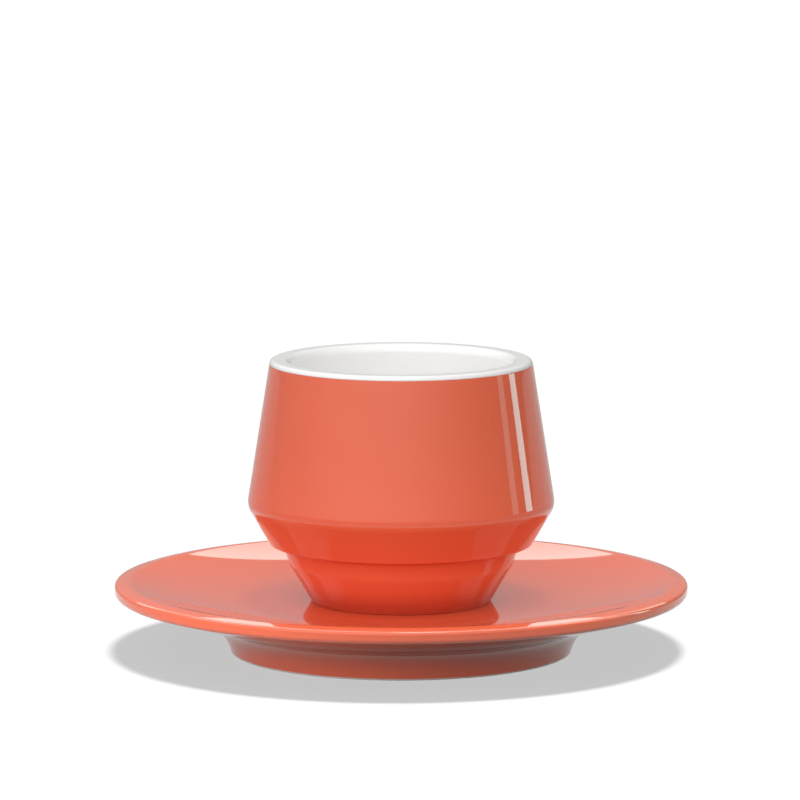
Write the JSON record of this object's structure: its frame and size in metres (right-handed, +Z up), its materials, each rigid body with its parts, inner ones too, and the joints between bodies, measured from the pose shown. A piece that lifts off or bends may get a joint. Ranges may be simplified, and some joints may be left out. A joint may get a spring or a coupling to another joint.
{
  "type": "espresso cup and saucer",
  "caption": "Handle-less espresso cup with a double-cone body, stepped foot, white lip and inside, standing loose on a dished saucer with a foot ring.",
  "frame": {"origin": "centre of the saucer's foot ring, on the surface that it stands on", "axes": "+Z up along the common axis of the saucer and the cup, +Y away from the picture's viewpoint"},
  "size_m": [0.12, 0.12, 0.0615],
  "materials": {
    "coral_glaze": "glossy coral-red glaze",
    "white_glaze": "glossy white glaze"
  },
  "bodies": {
    "saucer": {"saucer": "coral_glaze"},
    "cup": {"cup_body": "white_glaze", "cup_outer_glaze": "coral_glaze"}
  },
  "joints": [
    {"name": "cup_lift", "type": "slide", "parent": "saucer", "child": "cup", "axis": [0, 0, 1], "range_m": [0, 0.08]}
  ]
}
